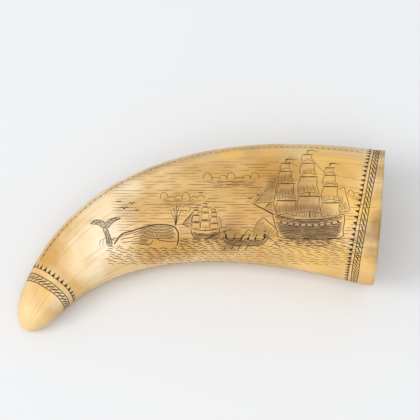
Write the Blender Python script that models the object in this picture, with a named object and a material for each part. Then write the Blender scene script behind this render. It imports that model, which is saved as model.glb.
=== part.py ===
"""Scrimshaw whale tooth, lying on its side as it rests on a table.

The tooth is one solid: an oval, tapering body that curves in plan, with a worn
round tip, a sawn-off root and the pulp hollow that opens in the sawn face.
Metres, +Z up. The tip points to -X and -Y, the root to +X. The origin is on the
table, under the middle of the tooth.
"""

import math

import bmesh
import bpy
import numpy as np
from mathutils import Vector

MM = 0.001
NODE = "tooth"

# The line that the tooth grew along, seen from above, as a cubic curve
TIP_POINT = Vector((-77.5, -47.5)) * MM
TIP_HANDLE = Vector((-43.5, 34.4)) * MM
ROOT_HANDLE = Vector((64.7, 0.95)) * MM
ROOT_POINT = Vector((78.2, -0.4)) * MM

# Half of the section's breadth (level) and depth (upright) at the curve's four points
HALF_BREADTH = [6.3 * MM, 27.6 * MM, 28.9 * MM, 31.2 * MM]
HALF_DEPTH = [5.8 * MM, 21.6 * MM, 22.8 * MM, 23.0 * MM]

# The section: 2 is an ellipse, and more is squarer
SQUARENESS = 2.3

# The round end of the tip, as a share of the curve
TIP_CAP = 0.038

# Shallow flutes that run along the root: how many, how deep as a share of the radius, turned by
FLUTES = [(3, 0.012, 0.6), (5, 0.012, 2.1), (9, 0.006, 0.9)]
FLUTES_START = 0.25

# The root is sawn off square, and its outer edge is rounded to this radius
SAWN_EDGE = 1.0 * MM

# The pulp hollow in the root: half its size at the sawn face, and its worn rim
MOUTH_HALF_BREADTH = 19.0 * MM
MOUTH_HALF_DEPTH = 12.8 * MM
MOUTH_RIM = 0.8 * MM

# Where along the curve the hollow's wall starts, behind the rim, and where it closes
PULP_STARTS = 0.985
PULP_ENDS = 0.66
PULP_TAPER = 0.72

# How deep the flat is that the tooth rests on, worn along its underside
REST_WEAR = 0.35 * MM

# How finely the skin is divided
POINTS_AROUND = 52
CAP_RINGS = 7
BODY_RINGS = 44
BODY_ENDS = 0.965
EDGE_RINGS = 3
PULP_RINGS = 11
SMALLEST_PULP_RING = 0.664
CURVE_SAMPLES = 400
CURVE_STEP = 0.001
SHARP_ANGLE = math.radians(35)

IVORY = (0.76, 0.58, 0.33, 1.0)
IVORY_ROUGHNESS = 0.38


def cubic(points, t):
    """The cubic curve through the first and last of four points, at t from 0 to 1."""
    a, b, c, d = points
    s = 1 - t
    return a * s**3 + b * (3 * s * s * t) + c * (3 * s * t * t) + d * t**3


def centreline(t):
    return cubic([TIP_POINT, TIP_HANDLE, ROOT_HANDLE, ROOT_POINT], t)


def side_direction(t):
    """The level direction across the tooth, towards the outside of its curve."""
    along = (centreline(min(t + CURVE_STEP, 1)) - centreline(max(t - CURVE_STEP, 0))).normalized()
    return Vector((-along.y, along.x))


def smooth_step(start, end, value):
    share = min(max((value - start) / (end - start), 0), 1)
    return share * share * (3 - 2 * share)


def tip_rounding(t):
    """1 along the body, falling to 0 at the very tip on an ellipse."""
    share = min(t / TIP_CAP, 1)
    return math.sqrt(max(0, 1 - (1 - share) ** 2))


def flute_share(t, angle):
    """How far the flutes push the surface out, as a share of the radius."""
    grown = smooth_step(FLUTES_START, 1, t)
    return grown * sum(depth * math.cos(count * angle + turn) for count, depth, turn in FLUTES)


def oval(angle):
    """A squarish unit oval, as its two coordinates."""
    level, upright = math.cos(angle), math.sin(angle)
    size = (abs(level) ** SQUARENESS + abs(upright) ** SQUARENESS) ** (-1 / SQUARENESS)
    return level * size, upright * size


def ring(t, half_breadth, half_depth, back=0.0):
    """One section of the tooth at t, moved back from the root along the tooth."""
    across = side_direction(t)
    forward = Vector((across.y, -across.x))
    middle = centreline(t) - forward * back
    height = cubic(HALF_DEPTH, t)
    points = []
    for i in range(POINTS_AROUND):
        angle = 2 * math.pi * i / POINTS_AROUND
        level, upright = oval(angle)
        pushed = 1 + flute_share(t, angle)
        place = middle + across * (half_breadth * level * pushed)
        points.append(Vector((place.x, place.y, height + half_depth * upright * pushed)))
    return points


def body_ring(t, less=0.0, back=0.0):
    """The outer surface at t. Less shrinks it all round by that distance."""
    size = tip_rounding(t)
    return ring(t, cubic(HALF_BREADTH, t) * size - less, cubic(HALF_DEPTH, t) * size - less, back)


def pulp_ring(t):
    """The wall of the pulp hollow at t, which tapers towards the middle of the tooth."""
    size = ((t - PULP_ENDS) / (1 - PULP_ENDS)) ** PULP_TAPER
    return ring(t, MOUTH_HALF_BREADTH * size, MOUTH_HALF_DEPTH * size)


def evenly_spaced(first, last, count):
    """Values of t, from first to last, that lie equal distances apart along the tooth."""
    samples = np.linspace(first, last, CURVE_SAMPLES)
    points = np.array([centreline(t) for t in samples])
    lengths = np.concatenate([[0], np.cumsum(np.linalg.norm(np.diff(points, axis=0), axis=1))])
    return np.interp(np.linspace(0, lengths[-1], count), lengths, samples)


def tip_rings():
    """Rings over the round end of the tip, closer together towards the end."""
    steps = [k * math.pi / 2 / CAP_RINGS for k in range(1, CAP_RINGS)]
    return [body_ring(TIP_CAP * (1 - math.cos(step))) for step in steps]


def root_rings():
    """Rings round the sawn face's rounded outer edge, then the rim of the hollow."""
    turns = np.linspace(0, math.pi / 2, EDGE_RINGS)
    edge = [
        body_ring(1, less=SAWN_EDGE * (1 - math.cos(turn)), back=SAWN_EDGE * (1 - math.sin(turn)))
        for turn in turns
    ]
    return edge + [ring(1, MOUTH_HALF_BREADTH + MOUTH_RIM, MOUTH_HALF_DEPTH + MOUTH_RIM)]


def loft(mesh, rings, first_point, last_point):
    """One closed skin through the rings, drawn to a point at both ends."""
    loops = [[mesh.verts.new(point) for point in points] for points in rings]
    first, last = mesh.verts.new(first_point), mesh.verts.new(last_point)
    for i in range(POINTS_AROUND):
        j = (i + 1) % POINTS_AROUND
        mesh.faces.new([first, loops[0][j], loops[0][i]])
        for near, far in zip(loops, loops[1:]):
            mesh.faces.new([near[i], near[j], far[j], far[i]])
        mesh.faces.new([last, loops[-1][i], loops[-1][j]])


def wear_flat(mesh):
    """Cuts the long narrow flat that the tooth lies on, and sets it at height 0."""
    everything = mesh.verts[:] + mesh.edges[:] + mesh.faces[:]
    floor = Vector((0, 0, REST_WEAR))
    cut = bmesh.ops.bisect_plane(
        mesh, geom=everything, dist=1e-6, plane_co=floor, plane_no=(0, 0, -1), clear_outer=True
    )
    edges = [item for item in cut["geom_cut"] if isinstance(item, bmesh.types.BMEdge)]
    for face in bmesh.ops.edgeloop_fill(mesh, edges=edges)["faces"]:
        face.normal_update()
        if face.normal.z > 0:
            face.normal_flip()
    bmesh.ops.translate(mesh, verts=mesh.verts, vec=-floor)


def centre_on_table(mesh):
    """Puts the origin on the table, under the middle of the tooth's box."""
    points = np.array([vertex.co for vertex in mesh.verts])
    middle = (points.min(axis=0) + points.max(axis=0)) / 2
    bmesh.ops.translate(mesh, verts=mesh.verts, vec=Vector((-middle[0], -middle[1], 0)))


def ivory_material():
    material = bpy.data.materials.new("whale_ivory")
    material.use_nodes = True
    shader = material.node_tree.nodes["Principled BSDF"]
    shader.inputs["Base Color"].default_value = IVORY
    shader.inputs["Roughness"].default_value = IVORY_ROUGHNESS
    shader.inputs["Metallic"].default_value = 0.0
    material.diffuse_color = IVORY
    return material


def point_on_centreline(t):
    place = centreline(t)
    return Vector((place.x, place.y, cubic(HALF_DEPTH, t)))


def tooth():
    """The whole tooth as one closed mesh."""
    body = [body_ring(t) for t in evenly_spaced(TIP_CAP, BODY_ENDS, BODY_RINGS)]
    pulp = [pulp_ring(t) for t in evenly_spaced(PULP_STARTS, SMALLEST_PULP_RING, PULP_RINGS)]
    rings = tip_rings() + body + root_rings() + pulp

    shape = bmesh.new()
    loft(shape, rings, point_on_centreline(0), point_on_centreline(PULP_ENDS))
    wear_flat(shape)
    centre_on_table(shape)
    mesh = bpy.data.meshes.new(NODE)
    shape.to_mesh(mesh)
    shape.free()
    mesh.shade_smooth()
    mesh.set_sharp_from_angle(angle=SHARP_ANGLE)
    mesh.materials.append(ivory_material())
    return bpy.data.objects.new(NODE, mesh)


def main():
    for old in list(bpy.data.objects):
        bpy.data.objects.remove(old)
    collection = bpy.data.collections.new("scrimshaw_tooth")
    bpy.context.scene.collection.children.link(collection)
    collection.objects.link(tooth())


main()
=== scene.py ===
"""Looks of a scrimshaw whale tooth: its aged ivory, its inked engraving and its sawn root.

Metres, +Z up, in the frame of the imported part. The tooth lies on its side with its tip
towards -X and its sawn root towards +X, and is seen from above the inside of its curve.
"""

import math

import bmesh
import bpy
import numpy as np
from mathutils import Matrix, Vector
from mathutils.bvhtree import BVHTree
from mathutils.geometry import barycentric_transform, delaunay_2d_cdt
from mathutils.kdtree import KDTree


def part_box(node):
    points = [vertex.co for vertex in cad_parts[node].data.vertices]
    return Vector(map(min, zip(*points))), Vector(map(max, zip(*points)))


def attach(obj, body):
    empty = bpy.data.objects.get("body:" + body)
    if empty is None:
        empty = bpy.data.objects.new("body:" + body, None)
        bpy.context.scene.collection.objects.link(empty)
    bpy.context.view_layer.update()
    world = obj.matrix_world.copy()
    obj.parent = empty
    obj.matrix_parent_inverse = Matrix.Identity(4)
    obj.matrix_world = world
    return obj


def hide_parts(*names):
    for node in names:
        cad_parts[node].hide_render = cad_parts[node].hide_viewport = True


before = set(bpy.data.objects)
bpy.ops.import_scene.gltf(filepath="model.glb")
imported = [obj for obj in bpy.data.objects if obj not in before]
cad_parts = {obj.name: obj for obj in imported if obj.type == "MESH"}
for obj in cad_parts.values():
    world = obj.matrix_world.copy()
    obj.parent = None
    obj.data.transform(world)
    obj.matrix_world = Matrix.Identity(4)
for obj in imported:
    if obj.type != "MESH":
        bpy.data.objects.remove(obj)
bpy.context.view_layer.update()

# The camera
# The photograph looks down on the tooth at about 60 degrees, square to its length, from
# far enough away that the root looks hardly larger than the tip.
MM = 0.001
SIGHT_RISE = math.radians(60)
TO_CAMERA = Vector((0, -math.cos(SIGHT_RISE), math.sin(SIGHT_RISE)))
CAMERA_DISTANCE = 0.80
AIM = Vector((3.1, 12.4, 18.0)) * MM
FRAME_WIDTH = 188 * MM
SENSOR = 36

camera = bpy.data.objects.new("camera", bpy.data.cameras.new("camera"))
camera.data.sensor_width = SENSOR
camera.data.lens = SENSOR * CAMERA_DISTANCE / FRAME_WIDTH
camera.data.clip_start = 0.01
camera.location = AIM + TO_CAMERA * CAMERA_DISTANCE
camera.rotation_euler = (math.pi / 2 - SIGHT_RISE, 0, 0)
bpy.context.scene.collection.objects.link(camera)
bpy.context.scene.camera = camera
bpy.context.scene.view_settings.view_transform = "Standard"

# The table and the studio light
# The tooth lies on a plain white sheet. A large soft lamp on the left throws the pale shadow
# that lies to the right of the root. A larger one in front and white surroundings fill the rest.
FLOOR_SIDE = 6.0
FLOOR_DROP = 0.1 * MM
FLOOR_WHITE = (0.79, 0.80, 0.81, 1)
SURROUNDINGS = (0.985, 0.99, 1.0, 1)
SURROUNDINGS_STRENGTH = 0.62
KEY_PLACE = Vector((-3.05, -1.20, 2.70))
KEY_SIDE = 1.9
KEY_WATTS = 70.0
FILL_PLACE = Vector((-0.3, -2.2, 3.4))
FILL_SIDE = 3.2
FILL_WATTS = 63.0


def principled(material, **settings):
    """Gives a material its shader, with the values that are the same all over."""
    material.use_nodes = True
    shader = material.node_tree.nodes["Principled BSDF"]
    for name, value in settings.items():
        shader.inputs[name.replace("_", " ")].default_value = value
    return shader


def soft_lamp(name, place, side, watts):
    lamp = bpy.data.objects.new(name, bpy.data.lights.new(name, "AREA"))
    lamp.data.size = side
    lamp.data.energy = watts
    lamp.location = place
    lamp.rotation_euler = (AIM - place).to_track_quat("-Z", "Y").to_euler()
    bpy.context.scene.collection.objects.link(lamp)


white_sheet = bpy.data.materials.new("white_sheet")
principled(white_sheet, Base_Color=FLOOR_WHITE, Roughness=0.9, Specular_IOR_Level=0.1)
floor_mesh = bpy.data.meshes.new("white_sheet")
floor_shape = bmesh.new()
bmesh.ops.create_grid(floor_shape, x_segments=1, y_segments=1, size=FLOOR_SIDE / 2)
bmesh.ops.translate(floor_shape, verts=floor_shape.verts, vec=(0, 0, -FLOOR_DROP))
floor_shape.to_mesh(floor_mesh)
floor_shape.free()
floor_mesh.materials.append(white_sheet)
floor = bpy.data.objects.new("white_sheet", floor_mesh)
bpy.context.scene.collection.objects.link(floor)

surroundings = bpy.data.worlds.new("surroundings")
surroundings.use_nodes = True
background = surroundings.node_tree.nodes["Background"]
background.inputs["Color"].default_value = SURROUNDINGS
background.inputs["Strength"].default_value = SURROUNDINGS_STRENGTH
bpy.context.scene.world = surroundings
soft_lamp("key_lamp", KEY_PLACE, KEY_SIDE, KEY_WATTS)
soft_lamp("fill_lamp", FILL_PLACE, FILL_SIDE, FILL_WATTS)

# The tooth's form
# A sperm whale's tooth is one piece of ivory, laid down in layers round a pulp. Its section
# is a squarish oval that swells along a curve from the tip to the root, and is sawn off there.
CURVE = [
    Vector((-77.5, -47.5, 0)) * MM,
    Vector((-43.5, 34.4, 0)) * MM,
    Vector((64.7, 0.95, 0)) * MM,
    Vector((78.2, -0.4, 0)) * MM,
]
HALF_SIZES = [
    Vector((6.3, 5.8, 0)) * MM,
    Vector((27.6, 21.6, 0)) * MM,
    Vector((28.9, 22.8, 0)) * MM,
    Vector((31.2, 23.0, 0)) * MM,
]
PULP_MOUTH = Vector((19.0, 12.8, 0)) * MM
FORM = {
    "Squareness": 2.3,
    "Tip Cap": 0.038,
    "Pulp Ends": 0.66,
    "Pulp Taper": 0.72,
    "Rest Wear": 0.35 * MM,
    "Flutes Start": 0.25,
}
FLUTES = [(3, 0.012, 0.6), (5, 0.012, 2.1), (9, 0.006, 0.9)]
RELIEF = {
    "Hollows": 0.35 * MM,
    "Hollow Scale": 34.0,
    "Ripples": 0.12 * MM,
    "Ripple Scale": 150.0,
    "Growth Rings": 0.05 * MM,
    "Growth Ring Count": 62.0,
    "Growth Ring Wander": 9.0,
    "Saw Marks": 0.10 * MM,
    "Saw Mark Scale": 900.0,
    "Seed": 3.0,
}
SAW_GRAIN = Vector((0.0, 1.0, 0.06))


def node(tree, kind, values=(), out=0, **settings):
    """Adds a node, fills its sockets in order with values or links, and gives its output."""
    made = tree.nodes.new(kind)
    for name, value in settings.items():
        setattr(made, name, value)
    for socket, value in zip(made.inputs, values):
        if isinstance(value, bpy.types.NodeSocket):
            tree.links.new(value, socket)
        elif value is not None:
            socket.default_value = value
    return made.outputs[out]


def sums(tree, operation, *values):
    return node(tree, "ShaderNodeMath", values, operation=operation)


def vectors(tree, operation, *values):
    out = 1 if operation in ("DOT_PRODUCT", "LENGTH", "DISTANCE") else 0
    return node(tree, "ShaderNodeVectorMath", values, out, operation=operation)


def blend(tree, share, first, second, kind="VECTOR"):
    """Mixes two numbers, vectors or colours."""
    at, out = {"FLOAT": (2, 0), "VECTOR": (4, 1), "RGBA": (6, 2)}[kind]
    values = [share] + [None] * (at - 1) + [first, second]
    return node(tree, "ShaderNodeMix", values, out, data_type=kind, clamp_factor=kind == "RGBA")


def scaled(tree, vector, factor):
    return vectors(tree, "SCALE", vector, None, None, factor)


def upright_vector(tree, height):
    return node(tree, "ShaderNodeCombineXYZ", [0.0, 0.0, height])


def cubic(tree, points, share):
    """A point of the cubic curve that four points set, and the direction there."""
    while len(points) > 2:
        points = [blend(tree, share, a, b) for a, b in zip(points, points[1:])]
    return blend(tree, share, *points), vectors(tree, "SUBTRACT", points[1], points[0])


def xyz(tree, vector):
    apart = node(tree, "ShaderNodeSeparateXYZ", [vector]).node
    return apart.outputs[:]


def named(tree, name):
    return node(tree, "GeometryNodeInputNamedAttribute", [name], data_type="FLOAT")


def add_input(tree, name, value):
    kinds = {
        float: "NodeSocketFloat",
        Vector: "NodeSocketVector",
        bpy.types.Material: "NodeSocketMaterial",
    }
    socket = tree.interface.new_socket(name, in_out="INPUT", socket_type=kinds[type(value)])
    if not isinstance(value, bpy.types.Material):
        socket.default_value = value


def form_inputs(materials):
    """Every named input of the form's nodes."""
    points = {f"Curve Point {i + 1}": p for i, p in enumerate(CURVE)}
    halves = {f"Half Size {i + 1}": s for i, s in enumerate(HALF_SIZES)}
    flutes = {f"Flute Depth {count}": depth for count, depth, _ in FLUTES}
    sizes = {"Pulp Mouth": PULP_MOUTH, **FORM, **flutes, **RELIEF}
    return {**points, **halves, **sizes, "Place": Vector(), **materials}


def build_form(tree, materials):
    """Fills the tree that wraps a flat sheet into the tooth.

    On the sheet, X is the way along the curve from 0 to 1, Y the angle round the section in
    radians, and Z the height above the skin in metres.
    """
    tree.interface.new_socket("Sheet", in_out="INPUT", socket_type="NodeSocketGeometry")
    tree.interface.new_socket("Tooth", in_out="OUTPUT", socket_type="NodeSocketGeometry")
    for name, value in form_inputs(materials).items():
        add_input(tree, name, value)
    given = tree.nodes.new("NodeGroupInput").outputs
    way, angle, height = xyz(tree, node(tree, "GeometryNodeInputPosition"))
    inside = named(tree, "inside")

    # The curve that the section follows, and the two directions across it
    middle, along = cubic(tree, [given[f"Curve Point {i}"] for i in range(1, 5)], way)
    forward = vectors(tree, "NORMALIZE", along)
    ahead_x, ahead_y, _ = xyz(tree, forward)
    across = node(tree, "ShaderNodeCombineXYZ", [sums(tree, "MULTIPLY", ahead_y, -1.0), ahead_x, 0.0])

    # Half of the section's size on the outer skin, drawn in over the round tip
    sizes, _ = cubic(tree, [given[f"Half Size {i}"] for i in range(1, 5)], way)
    along_cap = sums(tree, "MINIMUM", sums(tree, "DIVIDE", way, given["Tip Cap"]), 1.0)
    short = sums(tree, "SUBTRACT", 1.0, along_cap)
    rounding = sums(tree, "SQRT", sums(tree, "SUBTRACT", 1.0, sums(tree, "MULTIPLY", short, short)))
    outer = scaled(tree, sizes, rounding)

    # Half of the section's size in the pulp hollow, which tapers to a point
    depth_left = sums(tree, "SUBTRACT", way, given["Pulp Ends"])
    whole_depth = sums(tree, "SUBTRACT", 1.0, given["Pulp Ends"])
    open_share = sums(tree, "MAXIMUM", sums(tree, "DIVIDE", depth_left, whole_depth), 0.0)
    narrowing = sums(tree, "POWER", open_share, given["Pulp Taper"])
    hollow = scaled(tree, given["Pulp Mouth"], narrowing)

    # The squarish oval, pushed out and in by the flutes
    level = sums(tree, "COSINE", angle)
    upright = sums(tree, "SINE", angle)
    powers = [
        sums(tree, "POWER", sums(tree, "ABSOLUTE", part), given["Squareness"]) for part in (level, upright)
    ]
    swell = sums(tree, "POWER", sums(tree, "ADD", *powers), sums(tree, "DIVIDE", -1.0, given["Squareness"]))
    flute_range = [way, given["Flutes Start"], 1.0, 0.0, 1.0]
    grown = node(tree, "ShaderNodeMapRange", flute_range, interpolation_type="SMOOTHSTEP")
    pushed = 1.0
    for count, _, turn in FLUTES:
        wave = sums(tree, "COSINE", sums(tree, "MULTIPLY_ADD", angle, float(count), turn))
        share = sums(tree, "MULTIPLY", sums(tree, "MULTIPLY", wave, grown), given[f"Flute Depth {count}"])
        pushed = sums(tree, "ADD", share, pushed)
    reach = scaled(tree, blend(tree, inside, outer, hollow), sums(tree, "MULTIPLY", swell, pushed))

    # The smooth place of each point, before its relief
    _, full_depth, _ = xyz(tree, sizes)
    half_breadth, half_depth, _ = xyz(tree, reach)
    centre_z = sums(tree, "SUBTRACT", full_depth, given["Rest Wear"])
    centre = vectors(tree, "ADD", middle, upright_vector(tree, centre_z))
    sideways = scaled(tree, across, sums(tree, "MULTIPLY", half_breadth, level))
    upwards = upright_vector(tree, sums(tree, "MULTIPLY", half_depth, upright))
    smooth_place = vectors(tree, "ADD", centre, vectors(tree, "ADD", sideways, upwards))

    # Relief: broad hollows, small ripples and rings of growth, fading out at both closed ends
    seed = node(tree, "ShaderNodeCombineXYZ", [given["Seed"], 0.0, 0.0])
    noise_place = vectors(tree, "ADD", smooth_place, seed)
    closing = blend(tree, inside, rounding, narrowing, "FLOAT")
    broad = node(tree, "ShaderNodeTexNoise", [noise_place, None, given["Hollow Scale"], 1.0])
    small = node(tree, "ShaderNodeTexNoise", [noise_place, None, given["Ripple Scale"], 2.0])
    counted = sums(tree, "MULTIPLY", way, given["Growth Ring Count"])
    wander = sums(tree, "MULTIPLY_ADD", broad, given["Growth Ring Wander"], counted)
    rings = sums(tree, "SINE", sums(tree, "MULTIPLY", wander, math.pi))
    relief = sums(tree, "MULTIPLY", sums(tree, "SUBTRACT", broad, 0.5), given["Hollows"])
    relief = sums(tree, "MULTIPLY_ADD", sums(tree, "SUBTRACT", small, 0.5), given["Ripples"], relief)
    relief = sums(tree, "MULTIPLY_ADD", rings, given["Growth Rings"], relief)
    raised = sums(tree, "MULTIPLY_ADD", relief, closing, height)
    outward = vectors(tree, "ADD", scaled(tree, across, level), upright_vector(tree, upright))
    place = vectors(tree, "ADD", smooth_place, scaled(tree, outward, raised))

    # The saw's marks on the root's flat face
    grain = vectors(tree, "MULTIPLY", noise_place, SAW_GRAIN)
    marks = node(tree, "ShaderNodeTexNoise", [grain, None, given["Saw Mark Scale"], 2.0])
    cut = sums(tree, "MULTIPLY", sums(tree, "MULTIPLY", marks, given["Saw Marks"]), named(tree, "sawn"))
    place = vectors(tree, "SUBTRACT", place, scaled(tree, forward, cut))

    # The flat worn on the underside, then the materials
    left, back, up = xyz(tree, vectors(tree, "ADD", place, given["Place"]))
    place = node(tree, "ShaderNodeCombineXYZ", [left, back, sums(tree, "MAXIMUM", up, 0.0)])
    made = node(tree, "GeometryNodeSetPosition", [given["Sheet"], None, place])
    made = node(tree, "GeometryNodeFlipFaces", [made])
    made = node(tree, "GeometryNodeRealizeInstances", [made])
    finish = named(tree, "finish")
    for number, name in enumerate(materials):
        chosen = sums(tree, "COMPARE", finish, float(number), 0.5)
        made = node(tree, "GeometryNodeSetMaterial", [made, chosen, given[name]])
    result = tree.nodes.new("NodeGroupOutput")
    tree.links.new(made, result.inputs[0])


def sheet_object(name, points, faces, inside=None, sawn=None, finish=None):
    """A flat sheet as an object, with what its nodes read stored on it."""
    mesh = bpy.data.meshes.new(name)
    mesh.from_pydata(points, [], faces)
    for layer, kind, domain, values in (
        ("inside", "FLOAT", "POINT", inside),
        ("sawn", "FLOAT", "POINT", sawn),
        ("finish", "INT", "FACE", finish),
    ):
        stored = mesh.attributes.new(layer, kind, domain)
        if values is not None:
            stored.data.foreach_set("value", values)
    sheet = bpy.data.objects.new(name, mesh)
    bpy.context.scene.collection.objects.link(sheet)
    return sheet


def wrapped(sheet, tree, changes):
    """The plain mesh that the form's nodes make of a sheet, which is then removed."""
    modifier = sheet.modifiers.new("form", "NODES")
    modifier.node_group = tree
    for socket in tree.interface.items_tree:
        if socket.name in changes:
            modifier[socket.identifier] = changes[socket.name]
    graph = bpy.context.evaluated_depsgraph_get()
    mesh = bpy.data.meshes.new_from_object(
        sheet.evaluated_get(graph), preserve_all_data_layers=True, depsgraph=graph
    )
    bpy.data.objects.remove(sheet)
    return mesh


# Ivory, ink and the sawn root
# Old ivory is cream where it was handled and amber to brown where oil and smoke soaked in.
# The lines hold lampblack, the sawn face shows the layers of growth, and the pulp is brown.
finishes = {
    name: bpy.data.materials.new(name.lower().replace(" ", "_"))
    for name in ("Ivory", "Ink", "Age Crack", "Sawn Face", "Pulp Wall")
}
form_tree = bpy.data.node_groups.new("tooth_form", "GeometryNodeTree")
build_form(form_tree, finishes)

# The engraver's page
# A scrimshander rubs the tooth smooth, draws the scene on it with a pencil and pricks the
# lines in with a needle. The page is a flat drawing, in millimetres, that faces the camera,
# and each of its points is carried along the line of sight onto the tooth's skin.
LOOKUP_STEPS = (240, 180)
SEAM = -math.pi / 2
PAGE_MIDDLE = Vector((0, 0, 18)) * MM
PAGE_UP = Vector((0, math.sin(SIGHT_RISE), math.cos(SIGHT_RISE)))
PAGE_RIGHT = Vector((1, 0, 0))
GRAZING = 0.12


def grid_faces(rows, columns):
    """Quads over a grid of points that is stored row by row."""
    start = np.arange(rows - 1)[:, None] * columns + np.arange(columns - 1)
    quads = np.stack([start, start + columns, start + columns + 1, start + 1], axis=-1)
    return quads.reshape(-1, 4)


lookup_ways = np.linspace(0, 1, LOOKUP_STEPS[0] + 1)
lookup_angles = SEAM + np.linspace(0, 2 * math.pi, LOOKUP_STEPS[1] + 1)
lookup_flat = np.array([(way, angle, 0) for way in lookup_ways for angle in lookup_angles])
lookup_quads = grid_faces(len(lookup_ways), len(lookup_angles))
lookup_triangles = np.concatenate([lookup_quads[:, [0, 1, 2]], lookup_quads[:, [0, 2, 3]]])
lookup_mesh = wrapped(sheet_object("lookup", lookup_flat, lookup_quads), form_tree, {})
lookup_skin = np.array([point.co for point in lookup_mesh.vertices])
low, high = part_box("tooth")
shift = (np.array(low) + np.array(high) - lookup_skin.min(axis=0) - lookup_skin.max(axis=0)) / 2
form_place = Vector((shift[0], shift[1], 0))
lookup_skin += np.array(form_place)
skin_grid = lookup_skin.reshape(len(lookup_ways), len(lookup_angles), 3)
skin_finder = BVHTree.FromPolygons(lookup_skin.tolist(), lookup_triangles.tolist())


def touch(u, v):
    """The point of the tooth behind a place on the page, or None beside the tooth."""
    start = PAGE_MIDDLE + (PAGE_RIGHT * u + PAGE_UP * v) * MM + TO_CAMERA * CAMERA_DISTANCE
    point, inward, _, _ = skin_finder.ray_cast(start, -TO_CAMERA)
    return point if point and inward.dot(TO_CAMERA) < -GRAZING else None


def on_sheet(point):
    """Where the skin's nearest place to a point lies on the flat sheet."""
    near, _, index, _ = skin_finder.find_nearest(point)
    corners = lookup_triangles[index]
    skin = [Vector(lookup_skin[corner]) for corner in corners]
    flat = [Vector(lookup_flat[corner]) for corner in corners]
    return barycentric_transform(near, *skin, *flat).xy


def on_skin(way, angle):
    """The point of the tooth at a place on the flat sheet."""
    row = way * LOOKUP_STEPS[0]
    column = (angle - SEAM) / (2 * math.pi) * LOOKUP_STEPS[1]
    i = min(int(row), LOOKUP_STEPS[0] - 1)
    j = min(max(int(column), 0), LOOKUP_STEPS[1] - 1)
    near = skin_grid[i, j] * (1 - column + j) + skin_grid[i, j + 1] * (column - j)
    far = skin_grid[i + 1, j] * (1 - column + j) + skin_grid[i + 1, j + 1] * (column - j)
    return Vector(near * (1 - row + i) + far * (row - i))


ring_middles = skin_grid[:, :-1].mean(axis=1)
ring_gaps = np.linalg.norm(np.diff(ring_middles, axis=0), axis=1)
lengths = np.concatenate([[0], np.cumsum(ring_gaps)]) / MM
tooth_length = lengths[-1]


def way_at(length):
    """How far along the curve a place is that lies so many millimetres from the tip."""
    return np.interp(length, lengths, lookup_ways)


# The engraver's strokes
# Every line is a V-shaped groove, cut with a sail needle or a knife point, and its ends run
# out. Its width is in millimetres on the ivory, and dark parts are many lines close together.
HAIRLINE = 0.17
FINE = 0.24
LINE = 0.36
HEAVY = 0.58
STROKE_STEP = 1.2
HAND_SHAKE = 0.035
RUN_OUT = 0.35
rng = np.random.default_rng(1841)
strokes = []
covered = []


def engrave(points, widths, finish="Ink"):
    """Cuts a groove through points of the skin, with a width for each point."""
    if len(points) > 1:
        strokes.append((points, widths, finish))


def worn_ends(width, count):
    """A width for each point of a line, less at its two ends."""
    shares = np.ones(count)
    shares[[0, -1]] = RUN_OUT
    return width * shares


def spread_out(widths, count):
    """A width for each point of a line, from a few that are evenly spaced along it."""
    return np.interp(np.linspace(0, 1, count), np.linspace(0, 1, len(widths)), widths)


def soft_curve(points, step=STROKE_STEP, closed=False):
    """Points about a step apart on a soft curve through the given ones."""
    points = np.asarray(points, float)
    if closed:
        points = np.concatenate([points[-1:], points, points[:2]])
    else:
        before, after = 2 * points[:1] - points[1:2], 2 * points[-1:] - points[-2:-1]
        points = np.concatenate([before, points, after])
    drawn = []
    for a, b, c, d in zip(points, points[1:], points[2:], points[3:]):
        count = max(1, round(np.linalg.norm(c - b) / step))
        for t in np.arange(count) / count:
            bend = (c - a) * t + (2 * a - 5 * b + 4 * c - d) * t**2 + (3 * b - a - 3 * c + d) * t**3
            drawn.append(b + bend / 2)
    drawn.append(points[-2])
    return np.array(drawn)


def within(outline, points):
    """Which points lie inside an outline of the page."""
    outline = np.asarray(outline)
    x, y = np.asarray(points, float).T[:, :, None]
    ax, ay = outline.T
    bx, by = np.roll(outline, -1, axis=0).T
    spans = (ay > y) != (by > y)
    rise = np.where(by == ay, 1, by - ay)
    return (spans & (x < ax + (y - ay) * (bx - ax) / rise)).sum(axis=1) % 2 == 1


def draw(
    points, width=LINE, closed=False, step=STROKE_STEP, shake=HAND_SHAKE, behind=True, widths=None
):
    """Draws a line on the page. Where it passes behind what is drawn already, it stops."""
    path = soft_curve(points, step, closed)
    if widths is None:
        widths = worn_ends(width, len(path))
    else:
        widths = spread_out(widths, len(path))
    path = path + rng.normal(0, shake, path.shape)
    hidden = np.zeros(len(path), bool)
    for outline in covered if behind else []:
        hidden |= within(outline, path)
    run = []
    for (u, v), unseen, wide in zip(path, hidden, widths):
        place = None if unseen else touch(u, v)
        if place is None:
            engrave([p for p, _ in run], [w for _, w in run])
            run = []
        else:
            run.append((place, wide))
    engrave([p for p, _ in run], [w for _, w in run])


def hatch(outline, slope, gap, width=FINE, reach=(0.0, 1.0), ragged=0.10):
    """Fills an outline of the page, or a share of its breadth, with parallel lines."""
    turn = math.radians(slope)
    turned = np.array([[math.cos(turn), -math.sin(turn)], [math.sin(turn), math.cos(turn)]])
    shape = np.asarray(outline) @ turned
    after = np.roll(shape, -1, axis=0)
    for row in np.arange(shape[:, 1].min() + gap / 2, shape[:, 1].max(), gap):
        spans = (shape[:, 1] > row) != (after[:, 1] > row)
        a, b = shape[spans], after[spans]
        ends = np.sort(a[:, 0] + (row - a[:, 1]) * (b[:, 0] - a[:, 0]) / (b[:, 1] - a[:, 1]))
        for first, last in zip(ends[::2], ends[1::2]):
            long = last - first
            start = first + long * reach[0] + abs(rng.normal(0, ragged))
            end = first + long * reach[1] - abs(rng.normal(0, ragged))
            if end - start > width:
                line = np.array([(start, row), (end, row)]) @ turned.T
                draw(line, width * rng.uniform(0.85, 1.15))


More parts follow.
